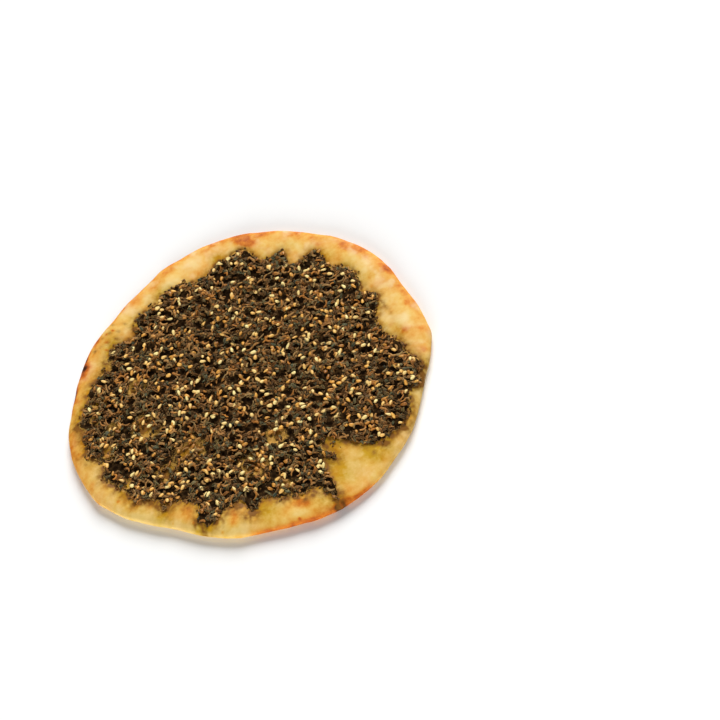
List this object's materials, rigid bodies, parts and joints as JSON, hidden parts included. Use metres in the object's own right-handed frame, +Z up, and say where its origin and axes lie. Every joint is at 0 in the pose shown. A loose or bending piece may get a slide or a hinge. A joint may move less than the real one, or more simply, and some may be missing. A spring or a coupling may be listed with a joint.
{
  "type": "manakish",
  "caption": "Thin round flatbread with an uneven puffy rim, covered inside the rim by a dark herb spread with sesame seeds. It lies flat.",
  "frame": {"origin": "middle of the bread's footprint, on the flat underside that it rests on", "axes": "+Z up, through the bread's thickness; the bare bay in the spread lies towards -Y"},
  "size_m": [0.2086, 0.2072, 0.0092],
  "materials": {
    "baked_dough": "soft matt baked dough, pale gold, toasted orange at its edge, olive where oil has soaked in",
    "zaatar_spread": "dark brown baked herb flakes with a little oil sheen, and cream to golden sesame seeds"
  },
  "bodies": {
    "root": {"bread": "baked_dough", "zaatar_topping": "zaatar_spread"}
  },
  "joints": []
}
